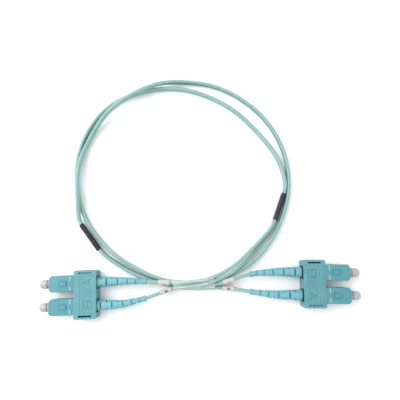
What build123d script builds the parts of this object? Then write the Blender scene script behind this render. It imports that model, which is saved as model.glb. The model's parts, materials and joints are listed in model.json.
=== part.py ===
from build123d import *
import math
import os

# Duplex SC to SC fibre optic patch cord, laid out in two loose turns on a flat surface.
# Frame: millimetres, +Z up, the surface at z = 0, origin at the bottom centre of the box round
# the two duplex connectors. Each plug is drawn along +X, its front face at x = 0, on its own axis.

# ---- driving dimensions -------------------------------------------------------------------
LANE_PITCH = 12.7          # between the two plug axes of a duplex SC
AXIS_Z = 4.7               # height of the plug axes above the surface

HOUSING_SIZE = (22.5, 9.0, 7.4)   # outer housing: length, width, height
HOUSING_CORNER = 1.3       # plan chamfer of the front corners
CAVITY = (7.0, 5.8)        # clear section right through the outer housing
SIDE_SLOT = (9.5, 4.0)     # length from the front, height: where an adapter's latches pass
KEY_SPAN = (-9.6, -5.7)    # polarity key on the top face
KEY_WIDTH = 2.4
KEY_HEIGHT = 0.45
KEY_MOAT = (0.3, 0.3)      # groove round the key: width, depth

FRAME_SPAN = (-19.0, -0.6)        # plug frame, front and rear
FRAME_SECTION = (6.8, 5.6)
FRAME_WEB = (-8.5, -7.5)   # web that the ferrule slides through
LUG_SPAN = (-9.4, -6.4)    # side lugs that stop the housing sliding off forwards
LUG_SIZE = (0.85, 3.6)     # reach outside the frame, height
FRONT_BORE_R = 2.45
WEB_BORE_R = 1.45
REAR_BORE_R = 2.3

FERRULE_R = 1.25
FERRULE_SPAN = (-10.0, 1.4)
CAPILLARY_R = 0.075
GLASS_R = 0.0625
BUFFER_R = 0.45
BUFFER_REAR = -31.0
FLANGE_R = 2.15
FLANGE_SPAN = (-11.0, -8.55)
FLANGE_TAIL_R = 1.05
FLANGE_TAIL_REAR = -14.5

STOP_FRONT = -16.2         # front face of the stop ring, which the spring pushes on
STOP_FLANGE = (-20.2, -19.05)
STOP_BODY_REAR = -24.5
NIPPLE_REAR = -29.5
NIPPLE_R = 1.25
STOP_BORE_R = 0.6
SPRING_WIRE_R = 0.2
SPRING_COIL_R = 1.55
SPRING_TURNS = 7

CRIMP_SPAN = (-33.6, -24.7)
CRIMP_STEP = -30.6
CRIMP_R = 1.75

CAP_SPAN = (-5.0, 6.0)
CAP_BORE_R = 1.27
CAP_NECK_R = 1.8
CAP_HEAD_R = 2.6
CAP_HEAD_REAR = 1.9

CLIP_SPAN = (-26.4, -13.9)        # rear and front faces of the duplex clip
CLIP_HALF_LENGTH = 13.3
CLIP_HALF_HEIGHT = 4.7
CLIP_POCKET_REAR = -22.6
CLIP_CORNER = 1.2
CLIP_BEVEL = (2.4, 0.7)    # sloped strip along the front edge: depth, drop
BOOT_HOLE = 3.6            # half the width and height of the hole a boot passes through
LATCH_X = -20.2
LATCH_SLOT = (7.3, 0.9)    # length, width of the moulding slot above a hook
LATCH_SLOT_Y = 11.2
TEETH = 5                  # finger grips on each end of the clip
TOOTH_PITCH = 2.15
TOOTH_R = 0.95
DOT_PITCH = 2.15

BOOT_LENGTH = 29.0
BOOT_ROOT_R = 3.0
BOOT_NECK_R = 1.45
BOOT_BULB_R = 1.65
BOOT_BULB = 1.9            # length of the bead at the tip
BOOT_BORE_R = 1.15
BOOT_SOCKET_R = 1.85       # wide front part of the bore, over the crimp sleeve
BOOT_SOCKET = 9.5
BOOT_SLOT = 0.75           # width of the slots, which are open to the bore
BOOT_SLOTS = (3.7, 6.9, 10.0, 13.1, 16.0, 18.6, 21.0, 23.3, 25.4)   # from the boot's front face

LEG_R = 1.0                # 2.0 mm simplex leg
STRAND_RISE = 2.1          # between the two jackets of the zip cord, which stands on its edge
CORNER_FILL = 0.45         # share of the shorter run that each bend takes
LEG_START = -32.5          # where a leg's jacket ends inside the crimp sleeve
BOOT_CORNER = -41.0        # where the leg starts to bend inside its boot

MARKER = (6.5, 1.2, 1.5)   # polarity sleeve: length, bore radius, outer radius
SLEEVE_OUTER = (4.9, 3.0)  # heat-shrink section: height, width
SLEEVE_INNER = (4.5, 2.6)
FILM = 0.1                 # thickness of the clear film round the bundle

# ---- where the pieces lie -----------------------------------------------------------------
SIDES = {"left": ((-83.9, -3.66), 182.5), "right": ((84.1, 2.84), -0.5)}
LANES = {"a": -LANE_PITCH / 2, "b": LANE_PITCH / 2}
BOOT_FRONT = {"left": -24.7, "right": -26.9}
BOOT_ROLL = {"a": 0, "b": 90}

# The legs, from the last bend inside the boot to the meeting with the zip cord.
LEG_ROUTES = {
    "left_a": [(-30, 4.2, 5.4), (-17.5, 3.4, 6.1), (-6, 3.6, 5.9), (7.3, 6.0, 5.7), (19.8, 12.7, 5.5),
               (31.7, 24, 4.3), (42.92, 35.88, 3.55), (48.2, 50.4, 3.55)],
    "left_b": [(-27.5, -4.3, 4.7), (-15, 0.9, 5.15), (-4, 1.5, 5.5), (8, 3.9, 5.5), (20.4, 9.9, 5.0),
               (33.8, 22.6, 1.5), (42.92, 35.88, 1.45), (48.2, 50.4, 1.45)],
    "right_a": [(28, -1.5, 4.2), (14, 0.9, 2.6), (2, 0.2, 1.35), (-9, 0.3, 1.3), (-20.5, 2.2, 1.2),
                (-32, 6, 1.0), (-43.3, 11.5, 1.05), (-56.72, 19.66, 1.1), (-66, 32.3, 2.7)],
    "right_b": [(29, 8.6, 5.0), (16.5, 4.65, 5.6), (4.5, 1.3, 3.1), (-8, 1.1, 3.25), (-20.5, 2.3, 3.35),
                (-32, 5.8, 3.15), (-43.6, 11, 3.15), (-56.72, 19.66, 3.2), (-66, 32.3, 4.8)],
}
MARKER_AT = {"left_a": 31.4, "left_b": 33.0, "right_a": 35.6, "right_b": 36.1}

# Middle of the zip cord: up from the right heat-shrink, round both turns, to the left one.
ON_FLOOR = LEG_R + STRAND_RISE / 2
OVER = 6.9
ZIP_ROUTE = [
    (48.2, 50.4, 2.5), (51.4, 59.2, 2.5), (49.5, 74.5, ON_FLOOR), (36.5, 93, ON_FLOOR),
    (18, 111.5, ON_FLOOR), (-9, 123, ON_FLOOR), (-34, 122, ON_FLOOR), (-57.3, 111.9, ON_FLOOR),
    (-71.9, 90.5, ON_FLOOR), (-75.6, 65.5, ON_FLOOR), (-69.2, 41, ON_FLOOR), (-53.5, 21.5, ON_FLOOR),
    (-37, 11.2, ON_FLOOR), (-20.5, 4.2, 2.2), (-4, 3.3, 2.2), (16, 5.6, 2.15), (35.8, 18.6, ON_FLOOR),
    (48.5, 38.3, ON_FLOOR), (54.3, 61.5, ON_FLOOR), (50.7, 85.4, ON_FLOOR), (37, 107.5, ON_FLOOR),
    (13, 124, ON_FLOOR), (-13.5, 127.8, ON_FLOOR), (-31.8, 122.2, 7.5), (-55, 108.1, OVER),
    (-67.1, 91, ON_FLOOR), (-72.2, 76, 4.2), (-72.5, 64, OVER), (-71.9, 56.8, OVER),
    (-71.3, 49.4, 6.75), (-70.68, 38.67, 4.54), (-66, 32.3, 3.75),
]
# Heat-shrink sleeves: middle of the zip-cord end, middle of the leg end.
SLEEVES = {
    "right": ((49.88, 55.14, 2.5), (44.15, 39.42, 2.5)),
    "left": ((-69.14, 36.58, 4.28), (-58.44, 22.04, 2.48)),
}
# Clear film round the bundle: x, middle y, inner width at each station.
FILM_STATIONS = [(-15.5, 2.45, 6.5), (-4.5, 2.25, 6.4), (6.5, 3.4, 8.4)]
FILM_HEIGHT = (FILM, 7.25)


# ---- small helpers ------------------------------------------------------------------------
def block(low, high):
    """A box between two corners."""
    size = [h - l for l, h in zip(low, high)]
    middle = [(h + l) / 2 for l, h in zip(low, high)]
    return Pos(*middle) * Box(*size)


def rod(radius, rear, front):
    """A cylinder along X."""
    return Pos((rear + front) / 2, 0, 0) * Rot(0, 90, 0) * Cylinder(radius, front - rear)


def turned(profile):
    """A solid of revolution about X, from (x, radius) points that start and end on the axis."""
    return revolve(make_face(Polyline(*profile, close=True)), Axis.X)


def plug_place(side, lane):
    """Where a plug's own frame sits."""
    (x, y), angle = SIDES[side]
    return Pos(x, y, AXIS_Z) * Rot(0, 0, angle) * Pos(0, LANES[lane], 0)


def clip_place(side):
    """Where a duplex clip's own frame sits."""
    (x, y), angle = SIDES[side]
    return Pos(x, y, AXIS_Z) * Rot(0, 0, angle)


def bent_path(points):
    """Straight runs joined by arcs that are as large as the runs allow."""
    corners = [Vector(*p) for p in points]
    radii = []
    for before, here, after in zip(corners, corners[1:], corners[2:]):
        into = here - before
        out = after - here
        half_turn = math.radians(into.get_angle(out)) / 2
        radii.append(CORNER_FILL * min(into.length, out.length) / math.tan(half_turn))
    return FilletPolyline(*corners, radius=radii), radii


def tube(path, radius):
    """A round solid along a path."""
    section = Plane(origin=path @ 0, z_dir=path % 0) * Circle(radius)
    return sweep(section, path=path)


def along(path, distance):
    """A plane across a path, its x direction kept as near to upright as the path allows."""
    here = path.position_at(distance, position_mode=PositionMode.LENGTH)
    heading = path.tangent_at(distance, position_mode=PositionMode.LENGTH)
    sideways = Vector(0, 0, 1).cross(heading).normalized()
    return Plane(origin=here, x_dir=heading.cross(sideways), z_dir=heading)


# ---- pieces of one plug -------------------------------------------------------------------
def rounded_block(span, width, grow, heights):
    """A block with rounded upright corners, grown outwards in plan by the given amount."""
    body = block((span[0] - grow, -width / 2 - grow, heights[0]), (span[1] + grow, width / 2 + grow, heights[1]))
    return fillet(body.edges().filter_by(Axis.Z), 0.6 + grow)


def outer_housing():
    length, width, height = HOUSING_SIZE
    body = block((-length, -width / 2, -height / 2), (0, width / 2, height / 2))
    front_corners = body.edges().filter_by(Axis.Z).group_by(Axis.X)[-1]
    body = chamfer(front_corners, HOUSING_CORNER)
    body = fillet(body.edges().filter_by(Axis.X), 0.5)
    top = height / 2
    wide, deep = KEY_MOAT
    body -= rounded_block(KEY_SPAN, KEY_WIDTH, wide, (top - deep, top + 1))
    body += rounded_block(KEY_SPAN, KEY_WIDTH, 0, (top - deep - 0.1, top + KEY_HEIGHT))
    body -= block((-length - 1, -CAVITY[0] / 2, -CAVITY[1] / 2), (1, CAVITY[0] / 2, CAVITY[1] / 2))
    body -= block((-SIDE_SLOT[0], -width, -SIDE_SLOT[1] / 2), (1, width, SIDE_SLOT[1] / 2))
    return body


def plug_frame():
    rear, front = FRAME_SPAN
    half_w, half_h = FRAME_SECTION[0] / 2, FRAME_SECTION[1] / 2
    body = block((rear, -half_w, -half_h), (front, half_w, half_h))
    body = chamfer(body.faces().sort_by(Axis.X)[-1].edges(), 0.3)
    for side in (-1, 1):
        lug_y = sorted((side * (half_w - 0.2), side * (half_w + LUG_SIZE[0])))
        body += block((LUG_SPAN[0], lug_y[0], -LUG_SIZE[1] / 2), (LUG_SPAN[1], lug_y[1], LUG_SIZE[1] / 2))
    body -= rod(FRONT_BORE_R, FRAME_WEB[1], front + 1)
    body -= rod(WEB_BORE_R, FRAME_WEB[0] - 0.5, FRAME_WEB[1] + 0.5)
    body -= rod(REAR_BORE_R, rear - 1, FRAME_WEB[0])
    return body


def ferrule():
    rear, tip = FERRULE_SPAN
    profile = [(rear, CAPILLARY_R), (rear, FERRULE_R), (tip - 0.5, FERRULE_R), (tip, FERRULE_R - 0.3), (tip, CAPILLARY_R)]
    return turned(profile)


def ferrule_flange():
    rear, front = FLANGE_SPAN
    seat = FERRULE_SPAN[0]
    profile = [
        (front, FERRULE_R), (front, FLANGE_R - 0.2), (front - 0.2, FLANGE_R), (rear, FLANGE_R),
        (rear, FLANGE_TAIL_R), (FLANGE_TAIL_REAR, FLANGE_TAIL_R), (FLANGE_TAIL_REAR, STOP_BORE_R),
        (seat, STOP_BORE_R), (seat, FERRULE_R),
    ]
    return turned(profile)


def fibre():
    """The bare glass in the ferrule and its buffer behind it, as one piece."""
    seat = FERRULE_SPAN[0] - 0.1
    tip = FERRULE_SPAN[1] - 0.02
    profile = [(BUFFER_REAR, 0), (BUFFER_REAR, BUFFER_R), (seat, BUFFER_R), (seat, GLASS_R), (tip, GLASS_R), (tip, 0)]
    return turned(profile)


def spring():
    """A round-wire spring between the flange and the stop ring."""
    rear = STOP_FRONT + SPRING_WIRE_R + 0.02
    height = FLANGE_SPAN[0] - SPRING_WIRE_R - 0.02 - rear
    coil = Helix(pitch=height / SPRING_TURNS, height=height, radius=SPRING_COIL_R)
    section = Plane(origin=coil @ 0, z_dir=coil % 0) * Circle(SPRING_WIRE_R)
    return Pos(rear, 0, 0) * Rot(0, 90, 0) * sweep(section, path=coil, is_frenet=True)


def stop_ring():
    nose = REAR_BORE_R - 0.02
    profile = [
        (STOP_FRONT, STOP_BORE_R + 0.6), (STOP_FRONT, nose), (STOP_FLANGE[1], nose), (STOP_FLANGE[1], 2.6),
        (STOP_FLANGE[0], 2.6), (STOP_FLANGE[0], 2.0), (STOP_BODY_REAR, 2.0), (STOP_BODY_REAR, NIPPLE_R),
    ]
    for rib in range(5):
        start = STOP_BODY_REAR - 0.6 - rib * 0.8
        profile += [(start, NIPPLE_R), (start - 0.1, NIPPLE_R - 0.12), (start - 0.3, NIPPLE_R - 0.12)]
        profile += [(start - 0.4, NIPPLE_R)]
    profile += [(NIPPLE_REAR, NIPPLE_R), (NIPPLE_REAR, STOP_BORE_R), (STOP_FRONT - 1.5, STOP_BORE_R)]
    return turned(profile)


def crimp_sleeve():
    rear, front = CRIMP_SPAN
    small = LEG_R + 0.02
    profile = [
        (front, NIPPLE_R + 0.03), (front, CRIMP_R), (CRIMP_STEP, CRIMP_R), (CRIMP_STEP - 0.5, small + 0.4),
        (rear, small + 0.4), (rear, small), (CRIMP_STEP - 0.3, small), (CRIMP_STEP, NIPPLE_R + 0.03),
    ]
    return turned(profile)


def dust_cap():
    rear, front = CAP_SPAN
    head = CAP_HEAD_REAR
    bottom = FERRULE_SPAN[1] + 0.6
    profile = [
        (rear, CAP_BORE_R + 0.15), (rear, CAP_NECK_R), (head, CAP_NECK_R), (head, CAP_HEAD_R - 0.35),
        (head + 0.15, CAP_HEAD_R - 0.12), (head + 0.45, CAP_HEAD_R), (front - 1.7, CAP_HEAD_R - 0.05),
        (front - 0.75, CAP_HEAD_R - 0.3), (front - 0.2, CAP_HEAD_R - 0.7), (front, CAP_HEAD_R - 1.0),
        (front, 0), (bottom, 0), (bottom, CAP_BORE_R), (rear + 0.3, CAP_BORE_R),
    ]
    return turned(profile)


# ---- duplex clip --------------------------------------------------------------------------
def hook_end(body):
    """Moulding slot and hook at the +Y end of a clip half."""
    length, width = LATCH_SLOT
    body -= block((LATCH_X - length / 2, LATCH_SLOT_Y, -1), (LATCH_X + length / 2, LATCH_SLOT_Y + width, 9))
    inner = LATCH_SLOT_Y + width + 0.05
    hook = block((LATCH_X - 3.2, inner, -3.0), (LATCH_X + 3.2, inner + 0.6, 0.5))
    barb = block((LATCH_X - 3.2, inner - 0.4, -3.0), (LATCH_X + 3.2, inner + 0.1, -2.35))
    barb = chamfer(barb.edges().filter_by(Axis.X).sort_by(Axis.Z)[0:1], 0.25)
    return body + hook + barb


def catch_end(body):
    """Pocket at the -Y end of a clip half, where the other half's hook lands."""
    length, width = LATCH_SLOT
    hook_out = -(LATCH_SLOT_Y + width + 0.75)
    hook_in = -(LATCH_SLOT_Y + width - 0.05)
    body -= block((LATCH_X - 3.35, hook_out, -1), (LATCH_X + 3.35, hook_in, 3.15))
    body -= block((LATCH_X - 3.35, hook_in - 0.1, 2.25), (LATCH_X + 3.35, hook_in + 0.45, 3.15))
    recess_y = (-(LATCH_SLOT_Y + width), -LATCH_SLOT_Y)
    body -= block((LATCH_X - length / 2, recess_y[0], CLIP_HALF_HEIGHT - 0.9),
                  (LATCH_X + length / 2, recess_y[1], CLIP_HALF_HEIGHT + 1))
    return body


def clip_marks():
    """Shallow grooves along the top face and small round dimples."""
    top = CLIP_HALF_HEIGHT
    marks = []
    for x, reach in [(-19.2, 9.4), (-17.6, 9.4), (-24.1, 2.3), (-22.9, 2.3), (-21.7, 2.3), (-20.5, 2.3)]:
        marks.append(block((x - 0.15, -reach, top - 0.15), (x + 0.15, reach, top + 1)))
    dimple = Cylinder(0.38, 0.4)
    for y in (-10.1, 10.1):
        for column in range(5):
            marks.append(Pos(-24.5 + column * DOT_PITCH, y, top) * dimple)
    for y in (-3.1, 3.1):
        for x in (-23.0, -20.8):
            marks.append(Pos(x, y, top) * dimple)
    return marks


def clip_half():
    """One half of the clip, above the plug axes; the two halves are the same moulding."""
    rear, front = CLIP_SPAN
    end = CLIP_HALF_LENGTH
    body = block((rear, -end, 0), (front, end, CLIP_HALF_HEIGHT))
    body = fillet(body.edges().filter_by(Axis.Z), CLIP_CORNER)
    wedge = Plane.XZ * make_face(Polyline(
        (front - CLIP_BEVEL[0], CLIP_HALF_HEIGHT), (front + 1, CLIP_HALF_HEIGHT + 1),
        (front + 1, CLIP_HALF_HEIGHT - CLIP_BEVEL[1] * (1 + 1 / CLIP_BEVEL[0])), close=True))
    body -= extrude(wedge, amount=end + 2, both=True)
    pocket = (HOUSING_SIZE[1] / 2 + 0.05, HOUSING_SIZE[2] / 2 + 0.05)
    for y in LANES.values():
        body -= block((CLIP_POCKET_REAR, y - pocket[0], -1), (front + 1, y + pocket[0], pocket[1]))
        body -= block((rear - 1, y - BOOT_HOLE, -1), (CLIP_POCKET_REAR + 1, y + BOOT_HOLE, BOOT_HOLE))
    for y in (-end - 0.4, end + 0.6):
        for tooth in range(TEETH):
            x = front - 1.9 - tooth * TOOTH_PITCH
            body -= Pos(x, y, CLIP_HALF_HEIGHT / 2) * Cylinder(TOOTH_R, CLIP_HALF_HEIGHT + 2)
    body = catch_end(hook_end(body))
    for mark in clip_marks():
        body -= mark
    return body


# ---- strain relief, cords and what is on them -----------------------------------------------
def leg_corners(side, lane):
    """A leg's whole route: two points on the plug axis, then the points laid out by hand."""
    place = plug_place(side, lane)
    start = (place * Pos(LEG_START, 0, 0)).position
    corner = (place * Pos(BOOT_CORNER, 0, 0)).position
    return [start, corner] + [Vector(*p) for p in LEG_ROUTES[f"{side}_{lane}"]]


def boot_radius(distance):
    """Outer radius of the boot, from its front face."""
    root = 2.4
    neck = BOOT_LENGTH - BOOT_BULB
    if distance <= root:
        return BOOT_ROOT_R
    if distance > neck:
        return BOOT_BULB_R
    share = (distance - root) / (neck - root)
    return BOOT_ROOT_R + (BOOT_NECK_R - BOOT_ROOT_R) * share


def ruled_along(path, stations):
    """A round solid through (distance, radius) stations along a path."""
    return loft([along(path, distance) * Circle(radius) for distance, radius in stations], ruled=True)


def boot(side, lane):
    """Slotted boot that follows its leg out of the clip."""
    corners = leg_corners(side, lane)
    front = (plug_place(side, lane) * Pos(BOOT_FRONT[side], 0, 0)).position
    _, radii = bent_path(corners)
    path = FilletPolyline(front, *corners[1:4], radius=radii[:2])
    neck = BOOT_LENGTH - BOOT_BULB
    taper = [2.4 + (neck - 2.4) * step / 10 for step in range(11)]
    outline = [(0, BOOT_ROOT_R)] + [(s, boot_radius(s)) for s in taper]
    body = ruled_along(path, outline + [(neck + 0.25, BOOT_BULB_R), (BOOT_LENGTH, BOOT_BULB_R)])
    body -= ruled_along(path, [(BOOT_SOCKET - 2 + 3 * step, BOOT_BORE_R) for step in range(9)])
    for number, distance in enumerate(BOOT_SLOTS):
        radius = boot_radius(distance)
        slot_floor = 0.5 * radius
        cutter = Pos(0, slot_floor + 2, 0) * Box(1.6 * radius, 4, BOOT_SLOT)
        roll = BOOT_ROLL[lane] + 90 * (number % 2)
        for flip in (0, 180):
            body -= along(path, distance).location * Rot(0, 0, roll + flip) * cutter
    entry = path.position_at(BOOT_SOCKET, position_mode=PositionMode.LENGTH)
    body -= tube(Line(front - (entry - front) * 0.1, entry), BOOT_SOCKET_R)
    return body


def zip_strands():
    """The two jackets of the zip cord, one above the other."""
    strands = []
    for rise in (-STRAND_RISE / 2, STRAND_RISE / 2):
        points = [(x, y, z + rise) for x, y, z in ZIP_ROUTE]
        path, radii = bent_path(points)
        strands.append(checked_tube("zip_cord", path, radii))
    return Compound(children=strands)


def checked_tube(name, path, radii):
    """A cord's tube, with its bend radii and its volume against section times length printed."""
    solid = tube(path, LEG_R)
    expected = math.pi * LEG_R**2 * path.length
    print(f"{name}: length {path.length:.1f}, bend radii {min(radii):.1f} to {max(radii):.1f},",
          f"volume over expected {solid.volume / expected:.4f}")
    return solid


def marker(side, lane, path):
    """Polarity sleeve on a leg."""
    length, bore, outer = MARKER
    middle = MARKER_AT[f"{side}_{lane}"]
    ends = [path.position_at(middle + s * length / 2, position_mode=PositionMode.LENGTH) for s in (-1, 1)]
    plane = Plane(origin=ends[0], z_dir=ends[1] - ends[0])
    ring = Circle(outer) - Circle(bore)
    return extrude(plane * ring, amount=length)


def heat_shrink(side):
    """Sleeve over the place where the zip cord splits into its two legs."""
    zip_end, leg_end = (Vector(*p) for p in SLEEVES[side])
    axis = leg_end - zip_end
    sideways = Vector(0, 0, 1).cross(axis)
    plane = Plane(origin=zip_end, x_dir=axis.cross(sideways), z_dir=axis)
    ring = SlotOverall(*SLEEVE_OUTER) - SlotOverall(*SLEEVE_INNER)
    return extrude(plane * ring, amount=axis.length)


def film_layer(grow):
    """A lofted sleeve shape round the bundle, grown outwards by the given amount."""
    low, high = FILM_HEIGHT
    sections = []
    for number, (x, y, width) in enumerate(FILM_STATIONS):
        reach = (-1, 0, 1)[number] * (1 if grow == 0 else 0)
        plane = Plane(origin=(x + reach, y, (low + high) / 2), x_dir=(0, 1, 0), z_dir=(1, 0, 0))
        sections.append(plane * RectangleRounded(width + 2 * grow, high - low + 2 * grow, 0.9 + grow))
    return loft(sections)


def coil_wrap():
    """Clear film wrapped once round the bundle."""
    return film_layer(FILM) - film_layer(0)


# ---- the whole cord -----------------------------------------------------------------------
def plug_pieces(side, lane):
    pieces = {
        "outer_housing": outer_housing(), "plug_frame": plug_frame(), "ferrule": ferrule(),
        "ferrule_flange": ferrule_flange(), "fibre": fibre(), "spring": spring(), "stop_ring": stop_ring(),
        "crimp_sleeve": crimp_sleeve(), "dust_cap": dust_cap(),
    }
    place = plug_place(side, lane)
    return {f"{side}_{lane}_{name}": place * piece for name, piece in pieces.items()}


def all_pieces():
    pieces = {}
    for side in SIDES:
        for lane in LANES:
            pieces.update(plug_pieces(side, lane))
            path, radii = bent_path(leg_corners(side, lane))
            pieces[f"{side}_{lane}_leg"] = checked_tube(f"{side}_{lane}_leg", path, radii)
            pieces[f"{side}_{lane}_boot"] = boot(side, lane)
            pieces[f"{side}_{lane}_marker"] = marker(side, lane, path)
        half = clip_half()
        pieces[f"{side}_clip_upper"] = clip_place(side) * half
        pieces[f"{side}_clip_lower"] = clip_place(side) * Rot(180, 0, 0) * half
        pieces[f"{side}_heat_shrink"] = heat_shrink(side)
    pieces["zip_cord"] = zip_strands()
    pieces["coil_wrap"] = coil_wrap()
    return pieces


os.makedirs("parts", exist_ok=True)
for node, shape in all_pieces().items():
    shape.label = node
    export_step(shape, f"parts/{node}.step")
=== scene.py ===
import json
import math

import bmesh
import bpy
from mathutils import Matrix, Vector, noise


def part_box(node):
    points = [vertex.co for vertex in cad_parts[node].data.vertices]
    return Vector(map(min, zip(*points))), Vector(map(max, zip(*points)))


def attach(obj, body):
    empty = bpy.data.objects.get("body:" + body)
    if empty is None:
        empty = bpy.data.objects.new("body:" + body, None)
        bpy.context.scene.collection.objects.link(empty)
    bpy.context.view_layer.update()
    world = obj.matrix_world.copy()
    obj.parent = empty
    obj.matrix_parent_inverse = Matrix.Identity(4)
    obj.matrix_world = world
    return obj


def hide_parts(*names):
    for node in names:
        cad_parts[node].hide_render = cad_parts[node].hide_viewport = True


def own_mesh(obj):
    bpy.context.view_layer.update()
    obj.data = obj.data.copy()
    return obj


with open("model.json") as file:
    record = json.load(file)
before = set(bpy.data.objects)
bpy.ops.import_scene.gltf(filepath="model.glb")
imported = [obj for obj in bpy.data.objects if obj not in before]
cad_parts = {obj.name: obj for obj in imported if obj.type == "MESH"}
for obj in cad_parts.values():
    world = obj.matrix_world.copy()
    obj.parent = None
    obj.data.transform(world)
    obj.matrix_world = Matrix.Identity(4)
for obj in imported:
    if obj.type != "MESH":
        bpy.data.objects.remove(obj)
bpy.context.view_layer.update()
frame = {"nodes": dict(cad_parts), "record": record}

# Looks of a duplex SC fibre patch cord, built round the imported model, +Z up. The scene is in
# metres; the lengths below are in millimetres and the angles in degrees unless a comment says so.
MM = 0.001

# ---- where the plugs and cords lie (the same values as the model's) -------------------------
SIDES = {"left": ((-83.9, -3.66), 182.5), "right": ((84.1, 2.84), -0.5)}
LANES = {"a": -6.35, "b": 6.35}
AXIS_Z = 4.7
HOUSING_HALF_HEIGHT = 3.7
LEG_START = -32.5
BOOT_CORNER = -41.0
LEG_R = 1.0
STRAND_RISE = 2.1
ROOT_BODY = "cord_assembly"

LEG_ROUTES = {
    "left_a": [(-30, 4.2, 5.4), (-17.5, 3.4, 6.1), (-6, 3.6, 5.9), (7.3, 6.0, 5.7), (19.8, 12.7, 5.5),
               (31.7, 24, 4.3), (42.92, 35.88, 3.55), (48.2, 50.4, 3.55)],
    "left_b": [(-27.5, -4.3, 4.7), (-15, 0.9, 5.15), (-4, 1.5, 5.5), (8, 3.9, 5.5), (20.4, 9.9, 5.0),
               (33.8, 22.6, 1.5), (42.92, 35.88, 1.45), (48.2, 50.4, 1.45)],
    "right_a": [(28, -1.5, 4.2), (14, 0.9, 2.6), (2, 0.2, 1.35), (-9, 0.3, 1.3), (-20.5, 2.2, 1.2),
                (-32, 6, 1.0), (-43.3, 11.5, 1.05), (-56.72, 19.66, 1.1), (-66, 32.3, 2.7)],
    "right_b": [(29, 8.6, 5.0), (16.5, 4.65, 5.6), (4.5, 1.3, 3.1), (-8, 1.1, 3.25), (-20.5, 2.3, 3.35),
                (-32, 5.8, 3.15), (-43.6, 11, 3.15), (-56.72, 19.66, 3.2), (-66, 32.3, 4.8)],
}
ON_FLOOR = 2.05
OVER = 6.9
ZIP_ROUTE = [
    (48.2, 50.4, 2.5), (51.4, 59.2, 2.5), (49.5, 74.5, ON_FLOOR), (36.5, 93, ON_FLOOR),
    (18, 111.5, ON_FLOOR), (-9, 123, ON_FLOOR), (-34, 122, ON_FLOOR), (-57.3, 111.9, ON_FLOOR),
    (-71.9, 90.5, ON_FLOOR), (-75.6, 65.5, ON_FLOOR), (-69.2, 41, ON_FLOOR), (-53.5, 21.5, ON_FLOOR),
    (-37, 11.2, ON_FLOOR), (-20.5, 4.2, 2.2), (-4, 3.3, 2.2), (16, 5.6, 2.15), (35.8, 18.6, ON_FLOOR),
    (48.5, 38.3, ON_FLOOR), (54.3, 61.5, ON_FLOOR), (50.7, 85.4, ON_FLOOR), (37, 107.5, ON_FLOOR),
    (13, 124, ON_FLOOR), (-13.5, 127.8, ON_FLOOR), (-31.8, 122.2, 7.5), (-55, 108.1, OVER),
    (-67.1, 91, ON_FLOOR), (-72.2, 76, 4.2), (-72.5, 64, OVER), (-71.9, 56.8, OVER),
    (-71.3, 49.4, 6.75), (-70.68, 38.67, 4.54), (-66, 32.3, 3.75),
]
SLEEVES = {
    "right": ((49.88, 55.14, 2.5), (44.15, 39.42, 2.5)),
    "left": ((-69.14, 36.58, 4.28), (-58.44, 22.04, 2.48)),
}
MARKER_AT = {"left_a": 31.4, "left_b": 33.0, "right_a": 35.6, "right_b": 36.1}
MARKER_LENGTH = 6.5

# ---- camera, light and floor: lengths in metres ---------------------------------------------
CAMERA_PLACE = (0, 0.01225, 0.225)
CAMERA_TILT = 10           # off straight down, towards the loop
CAMERA_NEAR = 0.01
CAMERA_LENS = 34.2         # lens and sensor in millimetres
CAMERA_SENSOR = 36
LAMPS = {"key": ((-0.3, 0.2, 0.4), 0.5, 2.3), "fill": ((0.2, -0.35, 0.6), 0.7, 0.7)}   # place, size, power
LAMP_AIM = (0, 0.04, 0)
SKY_STRENGTH = 0.9
FLOOR_HALF = 1.2
LIGHT_LOSS = 0.76          # darkens every colour, for the strong light that the white paper needs

# ---- cables ---------------------------------------------------------------------------------
SLEEVE_PULL = 2.0          # weight of the route's points in the middle of the heat-shrink sleeves
LEG_PULLS = (-2,)          # which points of a leg's route those are
ZIP_PULLS = (1, -2)        # the same for the zip cord
CURVE_STEPS = 14
WAIST = 24                 # half the angle of a jacket that the web to the other one takes
JACKET_STEPS = 15
LEAN = (-4, 2.5)           # of the zip cord off upright: middle value and swing
LEAN_WAVE = (31, 0.6)      # radians of the swing for each metre, and at the start
LEAN_FADE = 30             # from each end, within which the lean comes up

# ---- sleeves: an edge is (share of the length, share of the outer size) up to full size -----
BORE_STEPS = 8
MARKER_R = 1.45
MARKER_BORE_R = 1.04
MARKER_EDGE = [(0.0, 0.94), (0.015, 0.985), (0.04, 1.0)]
MARKER_ROLL = {"left_a": -48, "left_b": -14, "right_a": 12, "right_b": 58}
FAINT_PRINTS = ("left_a", "right_b")
CHEVRON_R = 1.468          # the print lies just over the marker
CHEVRON_STROKE = 0.62
CHEVRON_SHIFT = 0.25       # of its point, along the leg
CHEVRON_ARM = (0.08, 0.62)     # where an arm starts and how far it runs along the leg
CHEVRON_HALF_WIDTH = 0.72
CHEVRON_STEPS = 8
SHRINK_SIZE = (2.68, 4.7)  # width, height
SHRINK_BORE = 0.9          # share of the outer size
SHRINK_RUNS = 40           # short runs that the straight line through a sleeve is cut into
SHRINK_EDGE = [(0.0, 0.985), (0.008, 1.0)]
SHRINK_SWELL = ((0.018, 420), (0.01, 1300))    # depth and fineness of each unevenness

# ---- film round the bundle ------------------------------------------------------------------
FILM_SPAN = (-15.5, 7.5)
FILM_SLANT = 1.4           # how far each end is cut aslant
FILM_R = 1.12              # of the film's inside round each cord's middle
FILM_CREASE = 0.10
CREASE_FINENESS = (160, 900, 900)
FILM_STATIONS = 52
FILM_SPOKES = 72
FILM_LOWEST = 0.04
BUNDLE_REACH = 15          # the cords pass a given x in the bundle within this distance of y = 0

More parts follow.
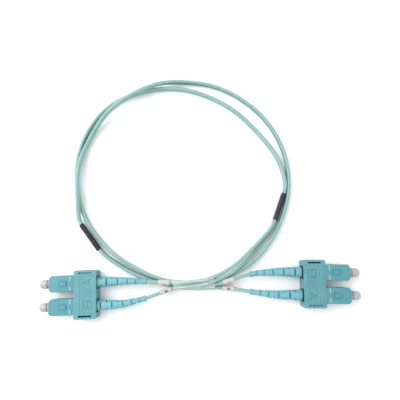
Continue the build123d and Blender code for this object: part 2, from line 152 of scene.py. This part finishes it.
# ---- marks on the connectors ----------------------------------------------------------------
LETTER_HEAD, LETTER_FOOT = -19.8, -23.9
LETTER_HALF_WIDTH = 2.2
LETTER_PEN = 0.34
A_BAR = (-22.5, 1.4)       # place of the A's bar along the plug, and half its width
B_BEND = (1.3, 0.9)        # where the B's straight strokes end across, and size of its cut corners
LETTER_SHIFT = {"a": 1.02, "b": 0.93}      # a letter's place across, as a share of its plug's own
LETTER_RISE = (-0.05, 0.06)                # bottom and top, from the clip's top face
DASH_X = -11.6
DASH_REACH = (1.4, 3.9)                    # its two ends, from the plug's axis
DASH_PEN = 0.6
DASH_RISE = (-0.05, 0.02)                  # bottom and top, from the housing's top face
SHARP_ANGLE = 32           # edges of the model's own pieces that turn more than this stay sharp


def placed(name, data):
    """A new object of the scene, from its data."""
    made = bpy.data.objects.new(name, data)
    bpy.context.collection.objects.link(made)
    return made


# ---- camera, light and floor ----------------------------------------------------------------
def camera():
    data = bpy.data.cameras.new("camera")
    data.lens = CAMERA_LENS
    data.sensor_width = CAMERA_SENSOR
    data.clip_start = CAMERA_NEAR
    eye = placed("camera", data)
    eye.location = CAMERA_PLACE
    eye.rotation_euler = (math.radians(CAMERA_TILT), 0, 0)
    bpy.context.scene.camera = eye


def studio():
    """A white sky and two soft disk lamps."""
    world = bpy.data.worlds.new("studio")
    world.use_nodes = True
    sky = world.node_tree.nodes["Background"]
    sky.inputs["Color"].default_value = (1, 1, 1, 1)
    sky.inputs["Strength"].default_value = SKY_STRENGTH
    bpy.context.scene.world = world
    bpy.context.scene.view_settings.view_transform = "Standard"
    for name, (place, size, power) in LAMPS.items():
        data = bpy.data.lights.new(name, "AREA")
        data.shape = "DISK"
        data.size = size
        data.energy = power
        lamp = placed(name, data)
        lamp.location = place
        lamp.rotation_euler = (Vector(LAMP_AIM) - Vector(place)).to_track_quat("-Z", "Y").to_euler()


def floor():
    mesh = bpy.data.meshes.new("floor")
    half = FLOOR_HALF
    corners = [(-half, -half, 0), (half, -half, 0), (half, half, 0), (-half, half, 0)]
    mesh.from_pydata(corners, [], [(0, 1, 2, 3)])
    table = placed("floor", mesh)
    material, _, shader = blank_material("paper")
    shader.inputs["Base Color"].default_value = (0.95, 0.95, 0.95, 1)
    shader.inputs["Roughness"].default_value = 0.9
    mesh.materials.append(material)


# ---- materials ------------------------------------------------------------------------------
def linear(*rgb):
    """An sRGB colour of 0 to 255 as a linear one, darkened for the strong light."""
    return tuple(LIGHT_LOSS * ((c / 255 + 0.055) / 1.055) ** 2.4 for c in rgb) + (1.0,)


def blank_material(name):
    """A new material, its node tree and its shader."""
    material = bpy.data.materials.new(name)
    material.use_nodes = True
    return material, material.node_tree, material.node_tree.nodes["Principled BSDF"]


def node(tree, kind, **inputs):
    """A new shader node with some of its inputs set."""
    made = tree.nodes.new(kind)
    for socket, value in inputs.items():
        made.inputs[socket].default_value = value
    return made


def stretched(tree, scale):
    """The object's coordinates, scaled by its own factor along each axis."""
    place = node(tree, "ShaderNodeTexCoord")
    stretch = node(tree, "ShaderNodeMapping", Scale=scale)
    tree.links.new(place.outputs["Object"], stretch.inputs["Vector"])
    return stretch.outputs["Vector"]


def bumped(tree, shader, height, strength, distance):
    """Gives the shader a bump from a height."""
    bump = node(tree, "ShaderNodeBump", Strength=strength, Distance=distance)
    tree.links.new(height, bump.inputs["Height"])
    tree.links.new(bump.outputs["Normal"], shader.inputs["Normal"])


def moulded(name, dark, light, roughness, grain=900, grain_depth=0.00001, blotch=90, **sockets):
    """A moulded plastic: slow colour drift, fine surface grain and a little roughness change.

    blotch and grain are the fineness of the two, and grain_depth is in metres."""
    material, tree, shader = blank_material(name)
    place = node(tree, "ShaderNodeTexCoord")
    drift = node(tree, "ShaderNodeTexNoise", Scale=blotch, Detail=3.0, Roughness=0.6)
    tree.links.new(place.outputs["Object"], drift.inputs["Vector"])
    tint = node(tree, "ShaderNodeValToRGB")
    for element, position, colour in zip(tint.color_ramp.elements, (0.35, 0.65), (dark, light)):
        element.position = position
        element.color = colour
    tree.links.new(drift.outputs["Fac"], tint.inputs["Fac"])
    tree.links.new(tint.outputs["Color"], shader.inputs["Base Color"])
    fine = node(tree, "ShaderNodeTexNoise", Scale=grain, Detail=4.0, Roughness=0.55)
    fine.name = "grain"
    tree.links.new(place.outputs["Object"], fine.inputs["Vector"])
    spread = node(tree, "ShaderNodeMapRange", **{"To Min": roughness - 0.05, "To Max": roughness + 0.07})
    tree.links.new(fine.outputs["Fac"], spread.inputs["Value"])
    tree.links.new(spread.outputs["Result"], shader.inputs["Roughness"])
    bumped(tree, shader, fine.outputs["Fac"], strength=0.35, distance=grain_depth)
    for socket, value in sockets.items():
        shader.inputs[socket.replace("_", " ")].default_value = value
    return material


def metal(name, colour, roughness):
    """A plated or drawn metal: its grain is stretched into fine turning lines."""
    bright = tuple(min(1, c * 1.15) for c in colour[:3]) + (1,)
    material = moulded(name, colour, bright, roughness, grain=1.0, Metallic=1.0)
    tree = material.node_tree
    tree.links.new(stretched(tree, (60, 60, 2500)), tree.nodes["grain"].inputs["Vector"])
    return material


def film_material():
    """Clear film: mostly see-through, with creased streaks along it that cover more and stand out a
    little; their whitish cover is painted highlight, standing in for glints along the glossy film.
    """
    material, tree, shader = blank_material("clear_film")
    shader.inputs["Base Color"].default_value = (0.97, 0.98, 0.98, 1)
    shader.inputs["Roughness"].default_value = 0.12
    shader.inputs["IOR"].default_value = 1.5
    crease_and_sheen = node(tree, "ShaderNodeTexNoise", Scale=1.0, Detail=3.0, Roughness=0.55)
    tree.links.new(stretched(tree, (75, 2100, 2100)), crease_and_sheen.inputs["Vector"])
    # where the whitish film covers more: partly real creases, partly painted highlight along them
    sheen_cover = node(tree, "ShaderNodeMapRange",
                 **{"From Min": 0.5, "From Max": 0.66, "To Min": 0.1, "To Max": 0.72})
    tree.links.new(crease_and_sheen.outputs["Fac"], sheen_cover.inputs["Value"])
    tree.links.new(sheen_cover.outputs["Result"], shader.inputs["Alpha"])
    bumped(tree, shader, crease_and_sheen.outputs["Fac"], strength=0.6, distance=0.0002)
    return material


def all_materials():
    teal = dict(Specular_IOR_Level=0.45)
    return {
        "housing": moulded("housing_plastic", linear(85, 155, 165), linear(92, 162, 172), 0.38, **teal),
        "clip": moulded("clip_plastic", linear(97, 162, 169), linear(104, 169, 176), 0.42, **teal),
        "inner_frame": moulded("frame_plastic", linear(132, 196, 198), linear(142, 204, 205), 0.4),
        "ceramic": moulded("ceramic", linear(232, 230, 224), linear(240, 238, 232), 0.15),
        "nickel": metal("nickel", linear(190, 188, 182), 0.25),
        "fibre_buffer": moulded("fibre_buffer", linear(120, 190, 190), linear(130, 200, 198), 0.35),
        "spring_steel": metal("spring_steel", linear(150, 150, 154), 0.3),
        # crimp sleeve: a darker metal than plated nickel, as painted shade, so the boot slots that show it
        # read dark
        "crimp_metal": metal("crimp_metal", linear(96, 96, 98), 0.4),
        "boot_rubber": moulded("boot_rubber", linear(117, 185, 196), linear(125, 192, 203), 0.5,
                               grain=1300),
        "cap_plastic": moulded("cap_plastic", linear(186, 185, 188), linear(197, 196, 199), 0.35,
                               Subsurface_Weight=0.7, Subsurface_Radius=(1, 1, 1),
                               Subsurface_Scale=0.003),
        "jacket": moulded("jacket", linear(142, 186, 178), linear(152, 195, 188), 0.42,
                          grain=1500, blotch=60),
        "marker_white": moulded("marker_white", linear(206, 201, 199), linear(216, 211, 209), 0.5),
        "heat_shrink": moulded("heat_shrink", linear(38, 42, 56), linear(47, 51, 66), 0.45,
                               grain=700, grain_depth=0.00004, blotch=250, Specular_IOR_Level=0.3),
        "clear_film": film_material(),
        "print": moulded("print_ink", linear(40, 44, 50), linear(58, 62, 70), 0.6),
        "faint_print": moulded("faint_print_ink", linear(142, 142, 158), linear(158, 158, 172), 0.6),
        "white_print": moulded("white_print", linear(160, 193, 199), linear(178, 206, 211), 0.6),
        # the letters are moulded in the clip's own plastic; their darker teal is painted shade along their
        # strokes
        "letter_painted_shade": moulded("letter_painted_shade", linear(70, 130, 138), linear(80, 140, 147), 0.42,
                                  **teal),
    }


# ---- curves and swept meshes ----------------------------------------------------------------
def plug_point(side, x, y, z=AXIS_Z):
    """A point given in a connector's own frame, as a point of the object, in millimetres."""
    (ox, oy), angle = SIDES[side]
    a = math.radians(angle)
    return (ox + x * math.cos(a) - y * math.sin(a), oy + x * math.sin(a) + y * math.cos(a), z)


def leg_points(name):
    side, lane = name.split("_")
    y = LANES[lane]
    return [plug_point(side, LEG_START, y), plug_point(side, BOOT_CORNER, y)] + LEG_ROUTES[name]


def smooth_curve(name, points, pulls, radius=0.0):
    """One smooth spline with the route's points as its control points; those in pulls weigh more."""
    data = bpy.data.curves.new(name, "CURVE")
    data.dimensions = "3D"
    data.resolution_u = CURVE_STEPS
    spline = data.splines.new("NURBS")
    spline.points.add(len(points) - 1)
    for control, point in zip(spline.points, points):
        control.co = (point[0] * MM, point[1] * MM, point[2] * MM, 1)
    for place in pulls:
        spline.points[place].co[3] = SLEEVE_PULL
    spline.order_u = 3
    spline.use_endpoint_u = True
    data.bevel_depth = radius
    data.bevel_resolution = 7
    data.use_fill_caps = radius > 0
    return placed(name, data)


def route_line(points, pulls):
    """The points that the route's own spline passes through, in order."""
    guide = smooth_curve("guide", points, pulls)
    mesh = bpy.data.meshes.new_from_object(guide)
    line = [v.co.copy() for v in mesh.vertices]
    bpy.data.meshes.remove(mesh)
    bpy.data.objects.remove(guide)
    return line


def distances(line):
    """How far along a line each of its points is."""
    total = [0.0]
    for a, b in zip(line, line[1:]):
        total.append(total[-1] + (b - a).length)
    return total


def at_distance(line, total, distance):
    """The point and heading of a line at a distance along it."""
    k = 0
    while k < len(line) - 2 and total[k + 1] < distance:
        k += 1
    share = (distance - total[k]) / (total[k + 1] - total[k])
    before = line[max(k - 1, 0)]
    after = line[min(k + 2, len(line) - 1)]
    return line[k].lerp(line[k + 1], share), (after - before).normalized()


def across(heading, roll=0.0):
    """Two directions across a heading, the second as near to upright as it allows, rolled in radians."""
    side = heading.cross(Vector((0, 0, 1))).normalized()
    up = side.cross(heading)
    turn = Matrix.Rotation(roll, 3, heading)
    return turn @ side, turn @ up


def mesh_object(name, vertices, faces, material):
    mesh = bpy.data.meshes.new(name)
    mesh.from_pydata([tuple(v) for v in vertices], [], faces)
    mesh.polygons.foreach_set("use_smooth", [True] * len(mesh.polygons))
    mesh.materials.append(material)
    return placed(name, mesh)


def rings_to_mesh(name, rings, material, cap_ends=True, closed_loop=False):
    """A skin over rings of equal size; closed_loop joins the last ring to the first."""
    count = len(rings[0])
    vertices = [v for ring in rings for v in ring]
    faces = []
    pairs = len(rings) if closed_loop else len(rings) - 1
    for r in range(pairs):
        low, high = r * count, (r + 1) % len(rings) * count
        for i in range(count):
            j = (i + 1) % count
            faces.append((low + i, low + j, high + j, high + i))
    if cap_ends and not closed_loop:
        faces.append(tuple(reversed(range(count))))
        faces.append(tuple(range((len(rings) - 1) * count, len(rings) * count)))
    made = mesh_object(name, vertices, faces, material)
    repair = bmesh.new()
    repair.from_mesh(made.data)
    bmesh.ops.recalc_face_normals(repair, faces=repair.faces)
    repair.to_mesh(made.data)
    repair.free()
    return made


# ---- cords ----------------------------------------------------------------------------------
def jacket_legs(materials):
    """The four legs' cables, and the line that each one follows."""
    legs, lines = {}, {}
    for name in LEG_ROUTES:
        points = leg_points(name)
        leg = smooth_curve(f"{name}_cable", points, LEG_PULLS, LEG_R * MM)
        leg.data.materials.append(materials["jacket"])
        lines[name] = route_line(points, LEG_PULLS)
        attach(leg, ROOT_BODY)
        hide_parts(f"{name}_leg")
        legs[name] = leg
    return legs, lines


def zip_section():
    """Outline of the two-jacket cable across its own length: two rounds and a web."""
    half = STRAND_RISE / 2
    waist = math.radians(WAIST)
    sweep = 2 * math.pi - 2 * waist
    outline = []
    for centre, start in ((half, -math.pi / 2 + waist), (-half, math.pi / 2 + waist)):
        for i in range(JACKET_STEPS + 1):
            angle = start + sweep * i / JACKET_STEPS
            outline.append((LEG_R * math.cos(angle), centre + LEG_R * math.sin(angle)))
    return outline


def zip_cable(materials):
    """The two-jacket cable, leaning a little to and fro, and the line that it follows."""
    line = route_line(ZIP_ROUTE, ZIP_PULLS)
    total = distances(line)
    section = zip_section()
    rings = []
    for k, point in enumerate(line):
        heading = (line[min(k + 1, len(line) - 1)] - line[max(k - 1, 0)]).normalized()
        fade = min(1, total[k] / (LEAN_FADE * MM), (total[-1] - total[k]) / (LEAN_FADE * MM))
        lean = LEAN[0] + LEAN[1] * math.sin(total[k] * LEAN_WAVE[0] + LEAN_WAVE[1])
        side, up = across(heading, math.radians(lean) * fade)
        rings.append([point + (side * x + up * y) * MM for x, y in section])
    cable = rings_to_mesh("zip_cord_cable", rings, materials["jacket"])
    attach(cable, ROOT_BODY)
    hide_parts("zip_cord")
    return cable, line


# ---- sleeves and film on the cords ----------------------------------------------------------
def sleeve_profile(bore, edge, steps):
    """A sleeve's outline: over the outside from one end to the other, and back through the bore."""
    start = edge[-1][0]
    outside = [(start + (1 - 2 * start) * i / steps, 1.0) for i in range(1, steps + 1)]
    far_edge = [(1 - share, size) for share, size in reversed(edge[:-1])]
    inside = [(1.0 - i / BORE_STEPS, bore) for i in range(1, BORE_STEPS)]
    return [(0.0, bore)] + edge + outside + far_edge + [(1.0, bore)] + inside


def sleeve_rings(line, start, end, profile, section):
    """Rings of a sleeve along a line, from a profile of (share of length, share of size) points."""
    total = distances(line)
    rings = []
    for share, scale in profile:
        point, heading = at_distance(line, total, start + (end - start) * share)
        side, up = across(heading)
        rings.append([point + (side * x * scale + up * y * scale) * MM for x, y in section])
    return rings


def circle_section(radius, steps=32):
    return [(radius * math.cos(2 * math.pi * i / steps), radius * math.sin(2 * math.pi * i / steps))
            for i in range(steps)]


def stadium_section(width, height, steps=16):
    half_run = (height - width) / 2
    radius = width / 2
    outline = []
    for centre, start in ((half_run, 0.0), (-half_run, math.pi)):
        for i in range(steps + 1):
            angle = start + math.pi * i / steps
            outline.append((radius * math.cos(angle), centre + radius * math.sin(angle)))
    return outline


def marker_sleeves(materials, lines):
    """White polarity sleeves, each with a printed chevron."""
    made = {}
    profile = sleeve_profile(MARKER_BORE_R / MARKER_R, MARKER_EDGE, steps=10)
    for name, middle in MARKER_AT.items():
        start = (middle - MARKER_LENGTH / 2) * MM
        end = (middle + MARKER_LENGTH / 2) * MM
        rings = sleeve_rings(lines[name], start, end, profile, circle_section(MARKER_R))
        sleeve = rings_to_mesh(f"{name}_marker_sleeve", rings, materials["marker_white"],
                               closed_loop=True)
        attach(sleeve, ROOT_BODY)
        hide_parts(f"{name}_marker")
        ink = materials["faint_print" if name in FAINT_PRINTS else "print"]
        chevron = marker_chevron(name, lines[name], (start + end) / 2, ink)
        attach(chevron, ROOT_BODY)
        made[name] = [sleeve, chevron]
    return made


def marker_chevron(name, line, middle, ink):
    """A printed V that wraps over the top of a marker sleeve."""
    total = distances(line)
    roll = math.radians(90 + MARKER_ROLL[name])
    turn = 1 if name.startswith("left") else -1
    vertices, faces = [], []
    for sign in (-1, 1):
        base = len(vertices)
        for i in range(CHEVRON_STEPS + 1):
            along = CHEVRON_SHIFT * turn + sign * (CHEVRON_ARM[0] + CHEVRON_ARM[1] * i / CHEVRON_STEPS)
            around = turn * (-CHEVRON_HALF_WIDTH + 2 * CHEVRON_HALF_WIDTH * i / CHEVRON_STEPS)
            angle = roll + around / MARKER_R
            for edge in (-CHEVRON_STROKE / 2, CHEVRON_STROKE / 2):
                point, heading = at_distance(line, total, middle + (along + edge) * MM)
                side, up = across(heading)
                outward = side * math.cos(angle) + up * math.sin(angle)
                vertices.append(point + outward * CHEVRON_R * MM)
        for i in range(CHEVRON_STEPS):
            a = base + 2 * i
            faces.append((a, a + 1, a + 3, a + 2))
    return mesh_object(f"{name}_marker_print", vertices, faces, ink)


def heat_shrinks(materials):
    """Dark shrunk sleeves over the splits, a little uneven where they gripped the cable."""
    made = {}
    profile = sleeve_profile(SHRINK_BORE, SHRINK_EDGE, steps=36)
    for side, ends in SLEEVES.items():
        first, last = (Vector(p) * MM for p in ends)
        line = [first.lerp(last, i / SHRINK_RUNS) for i in range(SHRINK_RUNS + 1)]
        rings = sleeve_rings(line, 0.0, (last - first).length, profile, stadium_section(*SHRINK_SIZE))
        for ring in rings[:1 - BORE_STEPS]:
            middle = sum(ring, Vector()) / len(ring)
            for i, v in enumerate(ring):
                swell = 1 + sum(depth * noise.noise(v * fineness) for depth, fineness in SHRINK_SWELL)
                ring[i] = middle + (v - middle) * swell
        sleeve = rings_to_mesh(f"{side}_heat_shrink_sleeve", rings, materials["heat_shrink"],
                               closed_loop=True)
        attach(sleeve, ROOT_BODY)
        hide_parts(f"{side}_heat_shrink")
        made[side] = sleeve
    return made


def crossing(line, x):
    """Where a line first passes a given x inside the bundle, as (y, z)."""
    for a, b in zip(line, line[1:]):
        if (a.x - x) * (b.x - x) <= 0 and a.x != b.x and abs(a.y) < BUNDLE_REACH * MM:
            point = a.lerp(b, (x - a.x) / (b.x - a.x))
            return Vector((point.y, point.z))
    raise ValueError(f"no cord passes x = {x} in the bundle")


def film_skin(x, lines, zip_line):
    """The film's outline across the bundle at x: tight round the cords, and creased."""
    rounds = [crossing(lines[name], x) for name in LEG_ROUTES]
    middle = crossing(zip_line, x)
    rounds += [middle + Vector((0, rise * MM)) for rise in (-STRAND_RISE / 2, STRAND_RISE / 2)]
    centre = sum(rounds, Vector((0, 0))) / len(rounds)
    angles = [2 * math.pi * i / FILM_SPOKES for i in range(FILM_SPOKES)]
    reach = []
    for angle in angles:
        direction = Vector((math.cos(angle), math.sin(angle)))
        reach.append(max((c - centre).dot(direction) for c in rounds) + FILM_R * MM)
    ring = []
    for i, angle in enumerate(angles):
        slope = (reach[(i + 1) % FILM_SPOKES] - reach[i - 1]) / (4 * math.pi / FILM_SPOKES)
        y = centre.x + reach[i] * math.cos(angle) - slope * math.sin(angle)
        z = centre.y + reach[i] * math.sin(angle) + slope * math.cos(angle)
        v = Vector((x, y, max(z, FILM_LOWEST * MM)))
        spot = Vector([c * fineness for c, fineness in zip(v, CREASE_FINENESS)])
        outward = Vector((0, v.y - centre.x, v.z - centre.y)).normalized()
        v += outward * (FILM_CREASE * MM * noise.noise(spot))
        v.z = max(v.z, FILM_LOWEST * MM)
        ring.append(v)
    return ring


def bundle_film(materials, lines, zip_line):
    """Clear film wrapped round the bundle, its ends cut aslant."""
    low, high = (FILM_SPAN[0] - FILM_SLANT) * MM, (FILM_SPAN[1] + FILM_SLANT) * MM
    skins = [film_skin(low + (high - low) * s / FILM_STATIONS, lines, zip_line)
             for s in range(FILM_STATIONS + 1)]
    rings = []
    for s in range(FILM_STATIONS + 1):
        ring = []
        for i in range(FILM_SPOKES):
            slant = FILM_SLANT * math.cos(2 * math.pi * i / FILM_SPOKES)
            x = (FILM_SPAN[0] - slant + (FILM_SPAN[1] - FILM_SPAN[0]) * s / FILM_STATIONS) * MM
            place = (x - low) / (high - low) * FILM_STATIONS
            place = min(FILM_STATIONS - 0.001, max(0.0, place))
            k = int(place)
            ring.append(skins[k][i].lerp(skins[k + 1][i], place - k))
        rings.append(ring)
    film = rings_to_mesh("bundle_film", rings, materials["clear_film"], cap_ends=False)
    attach(film, ROOT_BODY)
    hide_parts("coil_wrap")
    return film


# ---- details on the connectors --------------------------------------------------------------
def prism(name, side, outlines, low, high, material):
    """Flat outlines in a connector's own frame, raised between two heights."""
    made = bmesh.new()
    for outline in outlines:
        bottom = [made.verts.new([c * MM for c in plug_point(side, x, y, low)]) for x, y in outline]
        top = [made.verts.new([c * MM for c in plug_point(side, x, y, high)]) for x, y in outline]
        made.faces.new(bottom[::-1])
        made.faces.new(top)
        for i in range(len(outline)):
            j = (i + 1) % len(outline)
            made.faces.new((bottom[i], bottom[j], top[j], top[i]))
    bmesh.ops.recalc_face_normals(made, faces=made.faces)
    mesh = bpy.data.meshes.new(name)
    made.to_mesh(mesh)
    made.free()
    mesh.materials.append(material)
    return placed(name, mesh)


def stroke(start, end, width):
    """A straight pen stroke as a four-cornered outline."""
    (x0, y0), (x1, y1) = start, end
    length = math.hypot(x1 - x0, y1 - y0)
    ux, uy = (x1 - x0) / length, (y1 - y0) / length
    nx, ny = -uy * width / 2, ux * width / 2
    return [(x0 + nx, y0 + ny), (x0 - nx, y0 - ny), (x1 - nx, y1 - ny), (x1 + nx, y1 + ny)]


def letter_strokes(letter, centre_y):
    """Polarity letter, its head towards the plug's front, as strokes in the connector's frame."""
    head, foot, half = LETTER_HEAD, LETTER_FOOT, LETTER_HALF_WIDTH
    if letter == "a":
        bar, reach = A_BAR
        lines = [((foot, -half), (head, 0)), ((head, 0), (foot, half)), ((bar, -reach), (bar, reach))]
    else:
        middle = (head + foot) / 2
        bend, corner = B_BEND
        lines = [((foot, -half), (head, -half)), ((head, -half), (head, bend)),
                 ((middle, -half), (middle, bend)), ((foot, -half), (foot, bend)),
                 ((head, bend), (head - corner, half)), ((head - corner, half), (middle, bend)),
                 ((middle, bend), (foot + corner, half)), ((foot + corner, half), (foot, bend))]
    return [stroke((x0, y0 + centre_y), (x1, y1 + centre_y), LETTER_PEN) for (x0, y0), (x1, y1) in lines]


def connector_details(materials):
    """Raised polarity letters on the clips, coloured a darker teal as painted shade, and two printed
    dashes on each housing.
    """
    face = AXIS_Z + HOUSING_HALF_HEIGHT
    for side in SIDES:
        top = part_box(f"{side}_clip_upper")[1].z / MM
        for lane, y in LANES.items():
            strokes = letter_strokes(lane, y * LETTER_SHIFT[lane])
            letter = prism(f"{side}_clip_letter_{lane}", side, strokes, top + LETTER_RISE[0],
                           top + LETTER_RISE[1], materials["letter_painted_shade"])
            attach(letter, f"{side}_coupler")
            dashes = [stroke((DASH_X, y + s * DASH_REACH[0]), (DASH_X, y + s * DASH_REACH[1]), DASH_PEN)
                      for s in (-1, 1)]
            lines = prism(f"{side}_{lane}_housing_lines", side, dashes, face + DASH_RISE[0],
                          face + DASH_RISE[1], materials["white_print"])
            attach(lines, f"{side}_coupler")


def springs():
    """Gives each spring node its own copy of its mesh, leaving its shape as the model has it."""
    for side, (_, angle) in SIDES.items():
        for lane, y in LANES.items():
            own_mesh(frame["nodes"][f"{side}_{lane}_spring"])


def finish_nodes(materials):
    """Gives every shown node of the model its material."""
    slots = {entry["node"]: entry["material_slot"] for entry in frame["record"]["subparts"]}
    for name, piece in frame["nodes"].items():
        piece.data.materials.clear()
        piece.data.materials.append(materials[slots[name]])
        piece.data.polygons.foreach_set("use_smooth", [True] * len(piece.data.polygons))
        piece.data.set_sharp_from_angle(angle=math.radians(SHARP_ANGLE))


camera()
materials = all_materials()
legs, lines = jacket_legs(materials)
cable, zip_line = zip_cable(materials)
markers = marker_sleeves(materials, lines)
shrinks = heat_shrinks(materials)
film = bundle_film(materials, lines, zip_line)
finish_nodes(materials)
springs()
connector_details(materials)
studio()
floor()
